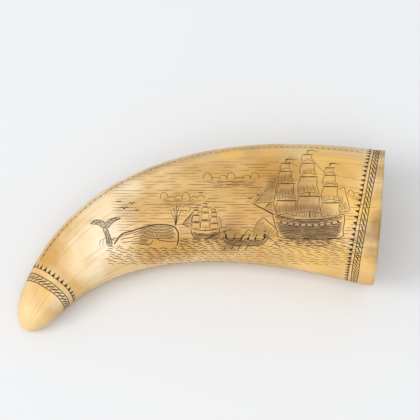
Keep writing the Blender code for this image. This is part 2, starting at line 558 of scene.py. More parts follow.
def moved(points, x, y, size=1.0):
    """Points of a motif, set at its place on the page."""
    return [(x + a * size, y + b * size) for a, b in points]


# The whaleships
# Each has three masts of square sails, jibs out to a long bowsprit, and a dark hull. The near
# one shows a row of painted ports, and the far one is little more than her sails. Each mast
# has its place, its height and how far its sails are shaded.
SHIP = (45.8, -0.8, 1.12)
FAR_SHIP = (1.0, -1.2, 0.46)
MASTS = [(-8.4, 0.96, 0.75), (0.3, 1.08, 0.55), (8.6, 0.90, 0.40)]
SAILS = [
    (8.4, 14.4, 4.0, 3.6),
    (15.2, 21.4, 3.6, 2.9),
    (22.1, 26.4, 2.8, 2.2),
    (27.0, 29.6, 2.0, 1.5),
]
JIBS = [
    ((-20.9, 12.9), (-10.2, 25.2), (-13.4, 13.4)),
    ((-17.0, 11.0), (-12.6, 16.4), (-13.0, 9.8)),
]
SPANKER = [(9.4, 9.0), (9.4, 17.0), (13.8, 19.4), (15.8, 10.0), (9.4, 9.0)]
STAYS = [
    ((-21.8, 12.9), (-8.4, 28.6)),
    ((-8.4, 29.4), (0.3, 25.5)),
    ((0.3, 32.0), (8.6, 22.0)),
    ((8.6, 26.0), (14.2, 8.6)),
]
SHROUD_LEANS = (-2.6, -1.5, 1.5, 2.6)
PORTS = np.arange(-10.6, 11.2, 2.4)
PORT_HALF = 0.42
SAIL_HATCH = 0.62
HULL_HATCH = 0.52
WALE_HATCH = 0.50
WATER_ROWS = 5
WATER_GAP = 0.62


def sheer(x):
    """How the ship's rail rises towards her ends."""
    return 0.0113 * x * x


def hull_band(low_edge, high_edge, reach):
    xs = np.linspace(-reach, reach, 11)
    return [(x, low_edge + sheer(x)) for x in xs] + [(x, high_edge + sheer(x)) for x in xs[::-1]]


def sail(at, edges, shade, slope):
    """One sail: its edges, and the hatching on its shaded side."""
    for edge in edges:
        draw(moved(edge, *at), FINE, step=0.9)
    outline = np.concatenate([soft_curve(edge, 1) for edge in edges])
    hatch(moved(outline, *at), slope, SAIL_HATCH, FINE, (0, shade), 0.35)
    covered.append(moved(outline, *at))


def square_sail(at, x, foot, head, half_foot, half_head, shade):
    """A sail bellied towards the bow, under its yard."""
    middle, half_middle = (foot + head) / 2, (half_foot + half_head) / 2
    left = [(x - half_foot - 0.2, foot), (x - half_middle - 0.8, middle), (x - half_head, head)]
    top = [(x - half_head, head), (x + half_head, head)]
    right = [(x + half_head, head), (x + half_middle - 0.5, middle), (x + half_foot, foot)]
    foot_line = [(x + half_foot, foot), (x - 0.1, foot + 0.8), (x - half_foot - 0.2, foot)]
    yard = [(x - half_head - 0.7, head + 0.1), (x + half_head + 0.7, head + 0.1)]
    draw(moved(yard, *at), HEAVY * 0.8)
    sail(at, [left, top, right, foot_line], shade, 84)


def ship_hull(at):
    bottom = [(x, 3.9 + sheer(x)) for x in np.linspace(-12.9, 12.9, 9)]
    bottom = bottom + [(12.2, 1.6), (10.8, -0.6), (-9.6, -0.6), (-11.8, 1.6)]
    whole = [(x, 6.5 + sheer(x)) for x in np.linspace(-13.7, 13.4, 9)]
    whole = whole + [(12.9, 3.0), (10.9, -0.6), (-9.7, -0.6), (-12.2, 2.0), (-13.2, 5.2)]
    hatch(moved(bottom, *at), 3, HULL_HATCH, LINE, ragged=0.05)
    if at == SHIP:
        hatch(moved(hull_band(5.3, 6.3, 13.1), *at), 0, WALE_HATCH, LINE, ragged=0.05)
        band = hull_band(3.9, 5.0, 12.9)
        for edge in (band[:len(band) // 2], band[len(band) // 2:]):
            draw(moved(edge, *at), FINE)
        for x in PORTS:
            port = [(x + end, 4.45 + sheer(x)) for end in (-PORT_HALF, PORT_HALF)]
            draw(moved(port, *at), step=0.45, shake=0, widths=[0.72, 0.72])
    draw(moved(whole, *at), LINE, closed=True)
    covered.append(moved(whole, *at))


def ship(at):
    ship_hull(at)
    size = at[2]
    draw(moved([(-12.6, 8.1), (-21.8, 12.9)], *at), step=1.5, widths=[0.7 * size, 0.34])
    for x, tall, shade in MASTS:
        for foot, head, half_foot, half_head in SAILS:
            square_sail(at, x, foot * tall, head * tall, half_foot * tall, half_head * tall, shade)
    for tack, peak, clew in JIBS:
        leech = ((peak[0] + clew[0]) / 2 - 0.6, (peak[1] + clew[1]) / 2)
        sail(at, [[tack, peak], [peak, leech, clew], [clew, tack]], 0.9, 50)
    sail(at, [[a, b] for a, b in zip(SPANKER, SPANKER[1:])], 0.7, 72)
    for x, tall, _ in MASTS:
        top = SAILS[-1][1] * tall + 1.6
        draw(moved([(x, 6.3 + sheer(x)), (x, top)], *at), step=1.2, widths=[0.55 * size, 0.3])
        pennant = [(x, top), (x + 1.5, top + 0.35), (x + 3.1, top - 0.1), (x + 4.6, top + 0.2)]
        draw(moved(pennant, *at), step=0.8, widths=[0.75 * size, 0.5 * size, 0.3, 0.12])
        for lean in SHROUD_LEANS:
            draw(moved([(x + lean, 6.4 + sheer(x)), (x + lean * 0.45, 10.5 * tall)], *at), HAIRLINE)
    for stay in STAYS:
        draw(moved(stay, *at), HAIRLINE)
    for row in range(WATER_ROWS):
        y = -1.5 - row * WATER_GAP
        for x in np.arange(-11.5 + row, 10.5 - row, 2.3 / size):
            a = x + rng.uniform(-0.5, 0.5)
            draw(moved([(a, y), (a + rng.uniform(1.3, 2.1), y)], *at), LINE)


# The whaleboat
# Six men in a light double-ended boat: four at the oars, one at the steering oar, and one in
# the bow with the iron. Her hull is hatched dark, and each man is a short thick stroke.
BOAT = (18.5, -3.6, 1.15)
BOAT_HULL = [
    (-8.6, 2.3),
    (-6.0, 1.15),
    (0, 0.75),
    (6.0, 1.15),
    (8.6, 2.5),
    (7.4, 0.2),
    (4.5, -0.95),
    (-4.5, -0.95),
    (-7.4, 0.1),
]
BOAT_HATCH = 0.50
OARSMEN = (-4.6, -1.9, 0.8, 3.5)
BODY_WIDTHS = [0.75, 0.95, 0.6]
HEAD_WIDTHS = [0.5, 0.66, 0.5]
HEAD_HALF = 0.3
SHAFT_WIDTHS = [0.2, 0.22, 0.24, 0.5]


def figure(x, y, lean, height=2.5):
    """A man: legs and body in one dark stroke, and a round head."""
    body = [(x, y), (x + lean * 0.55, y + height * 0.62)]
    draw(moved(body, *BOAT), step=0.5, shake=0, widths=BODY_WIDTHS)
    head_x, head_y = x + lean * 0.75, y + height * 0.88
    head = [(head_x, head_y - HEAD_HALF), (head_x, head_y + HEAD_HALF)]
    draw(moved(head, *BOAT), step=HEAD_HALF, shake=0, widths=HEAD_WIDTHS)


def whaleboat():
    outline = moved(soft_curve(BOAT_HULL, 1, closed=True), *BOAT)
    hatch(outline, 4, BOAT_HATCH, LINE)
    draw(moved(BOAT_HULL, *BOAT), LINE, closed=True)
    covered.append(outline)
    for x in OARSMEN:
        figure(x, 0.7, 0.9)
        arms = [(x + 0.5, 2.0), (x - 0.4, 1.6), (x - 1.0, 1.5)]
        oar = [(x - 0.8, 1.7), (x - 3.6, -2.6)]
        draw(moved(arms, *BOAT), step=0.5, widths=[0.3, 0.3, 0.25])
        draw(moved(oar, *BOAT), step=0.9, behind=False, widths=SHAFT_WIDTHS)
    figure(-7.0, 1.1, -0.8, 3.7)
    draw(moved([(-7.3, 3.3), (-8.4, 4.3), (-9.0, 3.9)], *BOAT), step=0.5, widths=[0.35, 0.3, 0.25])
    draw(moved([(-4.9, 5.6), (-13.4, 2.2)], *BOAT), step=1.0, widths=SHAFT_WIDTHS)
    figure(7.0, 1.2, 0.6, 3.6)
    draw(moved([(7.2, 3.2), (8.2, 2.9)], *BOAT), step=0.5, widths=[0.35, 0.3])
    draw(moved([(7.4, 3.4), (13.2, -1.6)], *BOAT), step=1.0, behind=False, widths=[0.22, 0.24, 0.3, 0.5])


# The whale
# A bull sperm whale at the surface, with a blunt head, a low hump, a spout, and its flukes
# thrown up astern. Many lines that follow its back make the dark of its skin.
WHALE = (-25.5, -3.6, 1.12)
WHALE_BACK = [
    (-10.4, 1.6),
    (-8.4, 3.7),
    (-5.6, 4.4),
    (-2.0, 5.6),
    (3.0, 6.9),
    (8.0, 7.1),
    (11.4, 6.3),
    (12.9, 4.6),
    (13.2, 1.6),
]
TAIL = [(-14.6, -0.9), (-15.2, 2.6), (-16.2, 5.4), (-14.9, 5.6), (-13.6, 2.8), (-12.7, -0.9)]
FLUKES = [
    (-15.6, 5.4),
    (-18.6, 7.2),
    (-21.4, 7.4),
    (-19.4, 8.9),
    (-16.4, 8.4),
    (-15.4, 7.7),
    (-14.2, 8.9),
    (-11.3, 9.9),
    (-9.4, 9.5),
    (-12.0, 8.3),
    (-14.6, 5.6),
]
WHALE_HATCH = 0.52
WHALE_LINES = 14
LINE_STARTS = (-9.2, -2.0, -5.2, -2.4)
EYE = (4.9, 2.9)
EYE_HALF = 0.35
PLUMES = [(-2.4, 5.6), (-1.2, 7.4), (0.0, 8.6), (1.2, 8.2), (2.4, 6.4)]
DROPS = 16
SPLASHES = [(-13.0, 1.6), (-16.4, 2.0), (-11.4, 1.3), (-17.6, 1.4)]


def whale():
    outline = [(12.6, -1.4)] + WHALE_BACK[::-1] + [(-12.0, -0.8), (0.0, -1.6)]
    draw(moved(outline[:-1], *WHALE), HEAVY)
    draw(moved([(12.9, 0.7), (9.6, 0.5), (6.0, 1.0), (4.4, 1.9)], *WHALE), LINE)
    eye = [(EYE[0] - EYE_HALF, EYE[1]), (EYE[0] + EYE_HALF, EYE[1])]
    draw(moved(eye, *WHALE), step=EYE_HALF, shake=0, widths=[0.3, 0.62, 0.3])
    draw(moved([(3.4, 1.2), (2.2, -0.6), (0.6, -1.0)], *WHALE), LINE)
    angles = np.arange(0, 6.2, 0.8)
    socket = [(EYE[0] + 0.8 * math.cos(a), EYE[1] + 0.55 * math.sin(a)) for a in angles]
    covered.append(moved(socket, *WHALE))
    for line in range(1, WHALE_LINES):
        share = line / WHALE_LINES
        start = LINE_STARTS[line % len(LINE_STARTS)] + rng.uniform(-0.5, 0.5)
        xs = np.arange(start, 12.4 - 0.5 * rng.uniform(), 1.0)
        ys = np.interp(xs, *np.array(WHALE_BACK).T) * share + (share - 1) * 1.2
        body = [(x, y) for x, y in zip(xs, ys) if y > 1.4 or x < 2.2]
        draw(moved(body, *WHALE), FINE * 1.3)
    outline = moved(soft_curve(outline, 1, closed=True), *WHALE)
    covered.append(outline)
    for part, slope in ((TAIL, 80), (FLUKES, 14)):
        shape = moved(soft_curve(part, 0.8, closed=True), *WHALE)
        hatch(shape, slope, WHALE_HATCH, LINE)
        draw(moved(part, *WHALE), LINE, closed=True, step=0.9)
        covered.append(shape)
    for lean, height in PLUMES:
        plume = [
            (12.2, 6.4),
            (12.4 + lean * 0.35, 6.4 + height * 0.6),
            (12.6 + lean, 6.4 + height),
            (13.2 + lean * 1.7, 5.6 + height),
        ]
        draw(moved(plume, *WHALE), FINE)
    for _ in range(DROPS):
        x, y = rng.normal(12.6, 1.8), rng.normal(14.0, 1.3)
        draw(moved([(x, y), (x + 0.35, y - 0.5)], *WHALE), FINE, step=0.4)
    for x, tall in SPLASHES:
        draw(moved([(x, -1.2), (x + 0.4, tall * 0.7), (x + 1.2, tall)], *WHALE), FINE, step=0.7)


# The sea, the far shore and the sky
# Short curved strokes for the swell, closest near the whale, a hatched island behind, and
# thin level lines for the clouds and the grey of the sky, with gulls between them.
HORIZON = -1.6
SEA_REACH = (-43.0, 66.0)
SEA_FOOT = -13.0
SEA_GAP = 0.72
SEA_GAP_GROWS = 0.03
BUSY_MIDDLE = -12
BUSY_REACH = 24
SHORE = [
    (17.0, HORIZON),
    (19.6, 2.2),
    (21.6, 1.4),
    (24.0, 5.8),
    (26.4, 7.4),
    (28.2, 5.6),
    (30.0, 4.4),
    (33.0, 1.0),
    (36.5, HORIZON),
]
SHORE_HATCH = 0.62
CLOUDS = [(-17.0, 15.5, 6, 2.8), (2.0, 24.0, 7, 3.0), (-4.5, 9.6, 4, 2.2), (64.0, 17.0, 3, 2.2)]
PUFF_STEP = 1.15
CLOUD_ROWS = 6
CLOUD_GAP = 0.62
GULLS = [
    (-34.5, 11.2, 2.2),
    (-31.2, 13.4, 1.6),
    (-37.0, 14.2, 1.3),
    (-28.6, 10.4, 1.2),
    (20.5, 15.5, 1.5),
    (24.2, 17.0, 1.1),
    (-1.0, 18.0, 1.2),
]
SKY_REACH = (-41.0, 64.0)
SKY_TOP = 33.0
SKY_GAP = 1.25
SKY_CLEAR = 42.0
SKY_LOW = 14.0


def sea():
    row, y = 0, HORIZON - 0.7
    while y > SEA_FOOT:
        x = SEA_REACH[0] + rng.uniform(0, 2)
        while x < SEA_REACH[1]:
            busy = math.exp(-(((x - BUSY_MIDDLE) / BUSY_REACH) ** 2))
            long = rng.uniform(2.0, 5.0)
            crest = rng.uniform(0.2, 0.45)
            rise, end = (x + long * 0.35, y + crest), (x + long, y - crest * 0.6)
            wave = [(x, y), rise, (x + long * 0.7, y), end]
            draw(wave, FINE * 1.1 + 0.14 * busy, step=1.0)
            x += long + rng.uniform(0.3, 1.6 - busy)
        y -= SEA_GAP + row * SEA_GAP_GROWS
        row += 1


def far_shore():
    island = soft_curve(SHORE, 1)
    draw(SHORE, LINE)
    hatch(island, 62, SHORE_HATCH, FINE, (0, 0.9), 0.5)
    covered.append(island)
    draw([(SEA_REACH[0], HORIZON), (0, HORIZON), (SEA_REACH[1], HORIZON)], FINE)


def cloud(x, y, puffs, size):
    """A bank of cloud: scalloped on top, with level lines under it."""
    for i in range(puffs):
        a = x + i * size * PUFF_STEP
        tall = size * (0.6 + 0.35 * math.sin(2.1 * i + x))
        arc = [
            (a - size * 0.62, y),
            (a - size * 0.5, y + tall * 0.8),
            (a, y + tall * 1.15),
            (a + size * 0.5, y + tall * 0.75),
            (a + size * 0.6, y),
        ]
        draw(arc, FINE, step=0.8)
        covered.append(soft_curve(arc, 1))
    span = (puffs - 1) * size * PUFF_STEP
    for row in range(CLOUD_ROWS):
        inset = row * size * 0.28
        start = x - size * 0.5 + inset * rng.uniform(0.5, 1.2)
        end = x + span + size * 0.5 - inset * rng.uniform(0.5, 1.2)
        while start < end - 1:
            stop = min(start + rng.uniform(3, 7), end)
            low = y - row * CLOUD_GAP
            draw([(start, low), (stop, low)], HAIRLINE * 1.15)
            start = stop + rng.uniform(0.4, 1.2)


def ruled_sky():
    """Level lines, broken and uneven, that stand for the grey of the sky."""
    for y in np.arange(HORIZON + 2.2, SKY_TOP, SKY_GAP):
        x = SKY_REACH[0] + rng.uniform(0, 6)
        while x < SKY_REACH[1]:
            long = rng.uniform(4, 15)
            if x + long > SKY_CLEAR and y > SKY_LOW:
                break
            draw([(x, y), (x + long, y + rng.normal(0, 0.08))], HAIRLINE * rng.uniform(0.9, 1.4), step=2.4)
            x += long + rng.uniform(0.6, 7) * (0.5 + (y - HORIZON) / 30)


def gull(x, y, size):
    for side in (-1, 1):
        wing = [(x, y), (x + side * size * 0.5, y + size * 0.42), (x + side * size * 1.1, y + size * 0.1)]
        draw(wing, step=0.6, shake=0, widths=[0.5, 0.36, 0.12])


def sky():
    for bank in CLOUDS:
        cloud(*bank)
    for bird in GULLS:
        gull(*bird)
    ruled_sky()


# The borders
# A rope twist runs right round the tooth at its root and its tip, with teeth along its inner
# side, and a beaded line along the back and the belly joins the two.
SEAM_GAP = 0.03
TURN_STEP = math.radians(2.6)
ROOT_ROPE = (4.6, 2.6)
ROOT_TEETH = (8.6, 10.4)
ROOT_SPACING = 0.085
ROOT_TWIST = 0.10
TIP_ROPE = (17.5, 3.2)
TIP_TEETH = (23.2, 25.2)
TIP_SPACING = 0.20
TIP_TWIST = 0.28
STRAND = [(0.04, 0.0), (0.3, 0.12), (0.7, 0.88), (0.96, 1.0)]
SECOND_STRAND = 0.28
TOOTH_BREADTH = 0.62
TOOTH_POINT = 0.12
BEAD_ANGLES = {"back": math.radians(46), "belly": math.radians(199)}
BEAD_GAP = 2.4
BEAD_HALF = 0.45
BEAD_WIDTHS = [0.2, 0.62, 0.2]
BEAD_RAIL = 0.035
BEAD_MARGIN = 1.2


def along_skin(places, widths):
    """Engraves a line through places given as a length from the tip and an angle."""
    points = [on_skin(way_at(length), angle) for length, angle in places]
    engrave(points, spread_out(widths, len(points)))


def turns(step):
    """Angles right round the tooth, just clear of the sheet's seam."""
    return np.arange(SEAM + SEAM_GAP, SEAM + 2 * math.pi - SEAM_GAP, step)


def ring_line(length, width):
    angles = np.append(turns(TURN_STEP), SEAM + 2 * math.pi - SEAM_GAP)
    wander = 0.06 * np.sin(angles * 7 + length)
    along_skin([(length + w, a) for w, a in zip(wander, angles)], [width])


def rope(length, breadth, twist, spacing):
    """Two ring lines with slanting strands between them, each drawn as a pair of lines."""
    ring_line(length, LINE)
    ring_line(length + breadth, LINE)
    for angle in turns(spacing)[:-2]:
        for lag, width in ((0, LINE), (SECOND_STRAND, FINE)):
            line = [
                (length + breadth * across, angle + twist * around + spacing * lag)
                for across, around in STRAND
            ]
            along_skin(line, [FINE, width, width, FINE])


def teeth(base, point, spacing):
    """A row of dark triangles, standing on a ring line."""
    ring_line(base, FINE)
    radius = np.linalg.norm(on_skin(way_at(base), 0) - on_skin(way_at(base), math.pi)) / 2 / MM
    for angle in turns(spacing)[1:-1]:
        line = [(base + (point - base) * share, angle) for share in np.linspace(0.05, 1, 4)]
        along_skin(line, [radius * spacing * TOOTH_BREADTH, TOOTH_POINT])


def beads(angle, first, last):
    places = np.arange(first, last, STROKE_STEP)
    for side in (-1, 1):
        along_skin([(length, angle + side * BEAD_RAIL) for length in places], [FINE])
    for length in np.arange(first + BEAD_GAP, last - BEAD_GAP / 2, BEAD_GAP):
        bead = [(length - BEAD_HALF, angle), (length, angle), (length + BEAD_HALF, angle)]
        along_skin(bead, BEAD_WIDTHS)


def borders():
    root = tooth_length
    rope(root - ROOT_ROPE[0] - ROOT_ROPE[1], ROOT_ROPE[1], ROOT_TWIST, ROOT_SPACING)
    teeth(root - ROOT_TEETH[0], root - ROOT_TEETH[1], ROOT_SPACING)
    rope(TIP_ROPE[0], TIP_ROPE[1], TIP_TWIST, TIP_SPACING)
    teeth(TIP_TEETH[0], TIP_TEETH[1], TIP_SPACING)
    for angle in BEAD_ANGLES.values():
        beads(angle, TIP_TEETH[1] + BEAD_MARGIN, root - ROOT_TEETH[1] - BEAD_MARGIN)


# Age cracks
# Ivory dries in layers, so hair cracks run in from the sawn end, along the grain, and short
# checks open here and there in the skin. Each long crack has its angle and its length.
CRACKS = [
    (0.35, 46),
    (0.95, 22),
    (1.45, 61),
    (2.05, 30),
    (2.62, 52),
    (3.4, 27),
    (4.1, 38),
    (-0.6, 33),
    (-1.1, 24),
]
CRACK_WIDTH = 0.20
CRACK_STEPS = (0.9, 1.5)
CRACK_WANDER = 0.007
CRACK_END = 0.35
CHECKS = 34
CHECK_LENGTHS = (5, 22)
CHECK_WIDTHS = (0.09, 0.14)


def crack(start, angle, long, width):
    """A crack that wanders along the grain and closes towards its far end."""
    length, places = start, []
    while length > start - long:
        places.append((length, angle))
        length -= rng.uniform(*CRACK_STEPS)
        angle += rng.normal(0, CRACK_WANDER)
    points = [on_skin(way_at(a), b) for a, b in places]
    engrave(points, width * np.linspace(1, CRACK_END, len(points)), "Age Crack")


def cracks():
    for angle, long in CRACKS:
        crack(tooth_length - 0.1, angle, long, CRACK_WIDTH)
    for _ in range(CHECKS):
        start, long = rng.uniform(45, tooth_length - 12), rng.uniform(*CHECK_LENGTHS)
        crack(start, rng.uniform(SEAM + 0.1, SEAM + 6.1), long, rng.uniform(*CHECK_WIDTHS))


whaleboat()
whale()
ship(SHIP)
ship(FAR_SHIP)
far_shore()
sea()
sky()
borders()
cracks()

# The skin, cut open along its strokes
# The sheet is divided along both sides and the bottom of every groove, and between the
# grooves by points about a millimetre apart. The bottom is pushed in, so each line is a V.
SKIN_STEP = 1.2
AROUND = 20.0
GROOVE_DEPTH = 0.35
DEEPEST = 0.16
CLEARANCE = 0.55
EDGE_CLEARANCE = 0.05
SEAM_JUMP = 9
CUT_TOLERANCE = 0.004
THINNEST = 0.02
FAR_BELOW = -10
PANEL_STARTS = 12.0
SAWN_EDGE = 1.0
TIP_COLUMNS = 60
ROOT_COLUMNS = 180
COLUMN_BLOCK = 30
finish_numbers = {name: number for number, name in enumerate(finishes)}
panel_ends = tooth_length - SAWN_EDGE


def spread(point):
    """A point of the skin as its place on the opened-out skin, in millimetres."""
    way, angle = on_sheet(point)
    return np.interp(way, lookup_ways, lengths), angle * AROUND


def columns_at(length):
    """How many points go round the tooth there, the same over long stretches."""
    if length == PANEL_STARTS:
        return TIP_COLUMNS
    if length == panel_ends:
        return ROOT_COLUMNS
    ring = skin_grid[min(int(way_at(length) * LOOKUP_STEPS[0]), LOOKUP_STEPS[0] - 1)]
    around = np.linalg.norm(np.diff(ring, axis=0), axis=1).sum() / MM
    return max(TIP_COLUMNS, COLUMN_BLOCK * math.ceil(around / SKIN_STEP / COLUMN_BLOCK))


def groove_triangles():
    """Every groove as triangles on the opened-out skin, with the depth at each corner."""
    places, corners, depths, kinds = [], [], [], []
    for points, widths, finish in strokes:
        start = len(places)
        for k, (point, width) in enumerate(zip(points, widths)):
            ahead = points[min(k + 1, len(points) - 1)] - points[max(k - 1, 0)]
            inward = skin_finder.find_nearest(point)[1]
            side = inward.cross(ahead).normalized() * (width / 2 * MM)
            places += [spread(point), spread(point + side), spread(point - side)]
        for k in range(len(points) - 1):
            middle, left, right = (start + 3 * k + i for i in range(3))
            across, around = np.array(places[middle:middle + 6]).T
            on_tip = across.min() < PANEL_STARTS + CLEARANCE
            on_edge = across.max() > panel_ends - EDGE_CLEARANCE
            if on_tip or on_edge or np.ptp(around) > SEAM_JUMP:
                continue
            near, far = (min(width * GROOVE_DEPTH, DEEPEST) for width in widths[k:k + 2])
            for side in (left, right):
                corners += [(middle, middle + 3, side + 3), (middle, side + 3, side)]
                depths += [(near, far, 0), (near, 0, 0)]
                kinds += [finish_numbers[finish]] * 2
    places, corners, depths, kinds = map(np.array, (places, corners, depths, kinds))
    a, b, c = (places[corners[:, i]] for i in range(3))
    area = np.cross(b - a, c - a)
    turned = area < 0
    corners[turned] = corners[turned][:, ::-1]
    depths[turned] = depths[turned][:, ::-1]
    longest = np.max([np.linalg.norm(q - p, axis=1) for p, q in ((a, b), (b, c), (c, a))], axis=0)
    sound = abs(area) / longest > THINNEST
    return places, corners[sound], depths[sound], kinds[sound]


def plain_points(grooves):
    """Points between the grooves, and the ring of points round the whole sheet."""
    finder = KDTree(len(grooves))
    for i, (x, y) in enumerate(grooves):
        finder.insert((x, y, 0), i)
    finder.balance()
    low, high = SEAM * AROUND, (SEAM + 2 * math.pi) * AROUND
    rows = np.linspace(PANEL_STARTS, panel_ends, round((panel_ends - PANEL_STARTS) / SKIN_STEP) + 1)
    bottom, top = ([(row, edge) for row in rows] for edge in (low, high))
    inner = [[(row, y) for y in np.linspace(low, high, columns_at(row) + 1)[1:-1]] for row in rows]
    rim = bottom + inner[-1] + top[::-1] + inner[0][::-1]
    clear = [(x, y) for row in inner[1:-1] for x, y in row if finder.find((x, y, 0))[2] > CLEARANCE]
    return clear, rim


def engraved_panel():
    """The engraved sheet: its points, its faces, and the finish of each face."""
    places, corners, depths, kinds = groove_triangles()
    used = np.unique(corners)
    renumber = np.zeros(len(places), int)
    renumber[used] = np.arange(len(used))
    places, corners = places[used], renumber[corners]
    inner, rim = plain_points(places)
    everything = [Vector(p) for p in rim + inner] + [Vector(p) for p in places]
    shift = len(rim) + len(inner)
    sides = np.concatenate([corners[:, [0, 1]], corners[:, [1, 2]], corners[:, [2, 0]]])
    sides = np.unique(np.sort(sides, axis=1), axis=0) + shift
    edges = [(i, (i + 1) % len(rim)) for i in range(len(rim))] + sides.tolist()
    cut = delaunay_2d_cdt(everything, edges, [], 0, CUT_TOLERANCE, False)
    points, faces = np.array(cut[0]), np.array(cut[2])

    # The grooves as they lie under the sheet. The first one met from below is the deepest.
    bottoms = np.column_stack([places[corners].reshape(-1, 2), -depths.reshape(-1)])
    triangles = np.arange(len(bottoms)).reshape(-1, 3)
    below = BVHTree.FromPolygons(bottoms.tolist(), triangles.tolist(), all_triangles=True, epsilon=1e-3)
    middles = points[faces].mean(axis=1)
    at_points, at_faces = (
        [below.ray_cast((x, y, FAR_BELOW), (0, 0, 1)) for x, y in spots] for spots in (points, middles)
    )
    heights = np.array([min(hit[0].z, 0) * MM if hit[0] else 0 for hit in at_points])
    finish = np.array([kinds[hit[2]] if hit[0] else 0 for hit in at_faces])
    flat = np.column_stack([way_at(points[:, 0]), points[:, 1] / AROUND, heights])
    return flat, faces, finish


# The rest of the sheet
# Plain grids close the round tip, and turn over the sawn edge, across the sawn face, over
# the worn rim of the pulp hollow and down its wall to the point where it closes.
TIP_ROWS = 18
JOIN_ROWS = 6
EDGE_ROWS = 5
FACE_ROWS = 15
RIM_ROWS = 4
PULP_ROWS = 30
RIM_WIDTH = 0.8
PULP_STARTS = 0.985
SAW_MARKS_FADE = 8
WELD = 1e-6


def grid(rows, columns, finish):
    """A grid of the sheet. Each row holds its way, height, inside share and sawn share."""
    angles = SEAM + np.linspace(0, 2 * math.pi, columns + 1)
    points = [
        (way, angle, height * MM, inside, sawn)
        for way, height, inside, sawn in rows
        for angle in angles
    ]
    faces = grid_faces(len(rows), columns + 1)
    return np.array(points), faces, np.full(len(faces), finish_numbers[finish])


def tip_grid():
    cap = FORM["Tip Cap"] * (1 - np.cos(np.linspace(0, math.pi / 2, TIP_ROWS)))
    ways = np.append(cap, np.linspace(cap[-1], way_at(PANEL_STARTS), JOIN_ROWS)[1:])
    return grid([(way, 0, 0, 0) for way in ways], TIP_COLUMNS, "Ivory")


def root_grids():
    turns = np.linspace(0, math.pi / 2, EDGE_ROWS)
    edge = [
        (way_at(tooth_length - SAWN_EDGE * (1 - math.sin(turn))), -SAWN_EDGE * (1 - math.cos(turn)), 0, 0)
        for turn in turns
    ]
    face = [
        (1, -SAWN_EDGE * (1 - s) + RIM_WIDTH * s, s, min(1, SAW_MARKS_FADE * s * (1 - s) ** 0.5))
        for s in np.linspace(0, 1, FACE_ROWS)
    ]
    rim = [
        (1 - (1 - PULP_STARTS) * (1 - math.cos(turn)), RIM_WIDTH * (1 - math.sin(turn)), 1, 0)
        for turn in np.linspace(0, math.pi / 2, RIM_ROWS + 1)
    ]
    wall = [(way, 0, 1, 0) for way in np.linspace(PULP_STARTS, FORM["Pulp Ends"], PULP_ROWS)]
    strips = ((edge, "Ivory"), (face, "Sawn Face"), (rim, "Sawn Face"), (wall, "Pulp Wall"))
    return [grid(rows, ROOT_COLUMNS, finish) for rows, finish in strips]


panel, panel_faces, panel_finish = engraved_panel()
pieces = [(np.pad(panel, ((0, 0), (0, 2))), panel_faces, panel_finish), tip_grid(), *root_grids()]
points, faces, finish = [], [], []
for piece_points, piece_faces, piece_finish in pieces:
    faces += (piece_faces + len(points)).tolist()
    points += piece_points.tolist()
    finish += piece_finish.tolist()
points = np.array(points)
sheet = sheet_object("sheet", points[:, :3], faces, points[:, 3], points[:, 4], finish)
skin_map = sheet.data.uv_layers.new(name="skin")
corner_points = points[[loop.vertex_index for loop in sheet.data.loops]]
corner_lengths = np.interp(corner_points[:, 0], lookup_ways, lengths)
opened_out = np.column_stack([corner_lengths, corner_points[:, 1] * AROUND])
skin_map.data.foreach_set("uv", (opened_out * MM).ravel())
tooth_mesh = wrapped(sheet, form_tree, {**finishes, "Place": form_place})

# The sheet's edges are joined, and light breaks sharply at the edge of every groove.
shape = bmesh.new()
shape.from_mesh(tooth_mesh)
bmesh.ops.remove_doubles(shape, verts=shape.verts, dist=WELD)
for edge in shape.edges:
    edge.smooth = len({face.material_index for face in edge.link_faces}) == 1
for face in shape.faces:
    face.smooth = True
shape.to_mesh(tooth_mesh)
shape.free()
tooth = bpy.data.objects.new("tooth_ivory", tooth_mesh)
bpy.context.scene.collection.objects.link(tooth)

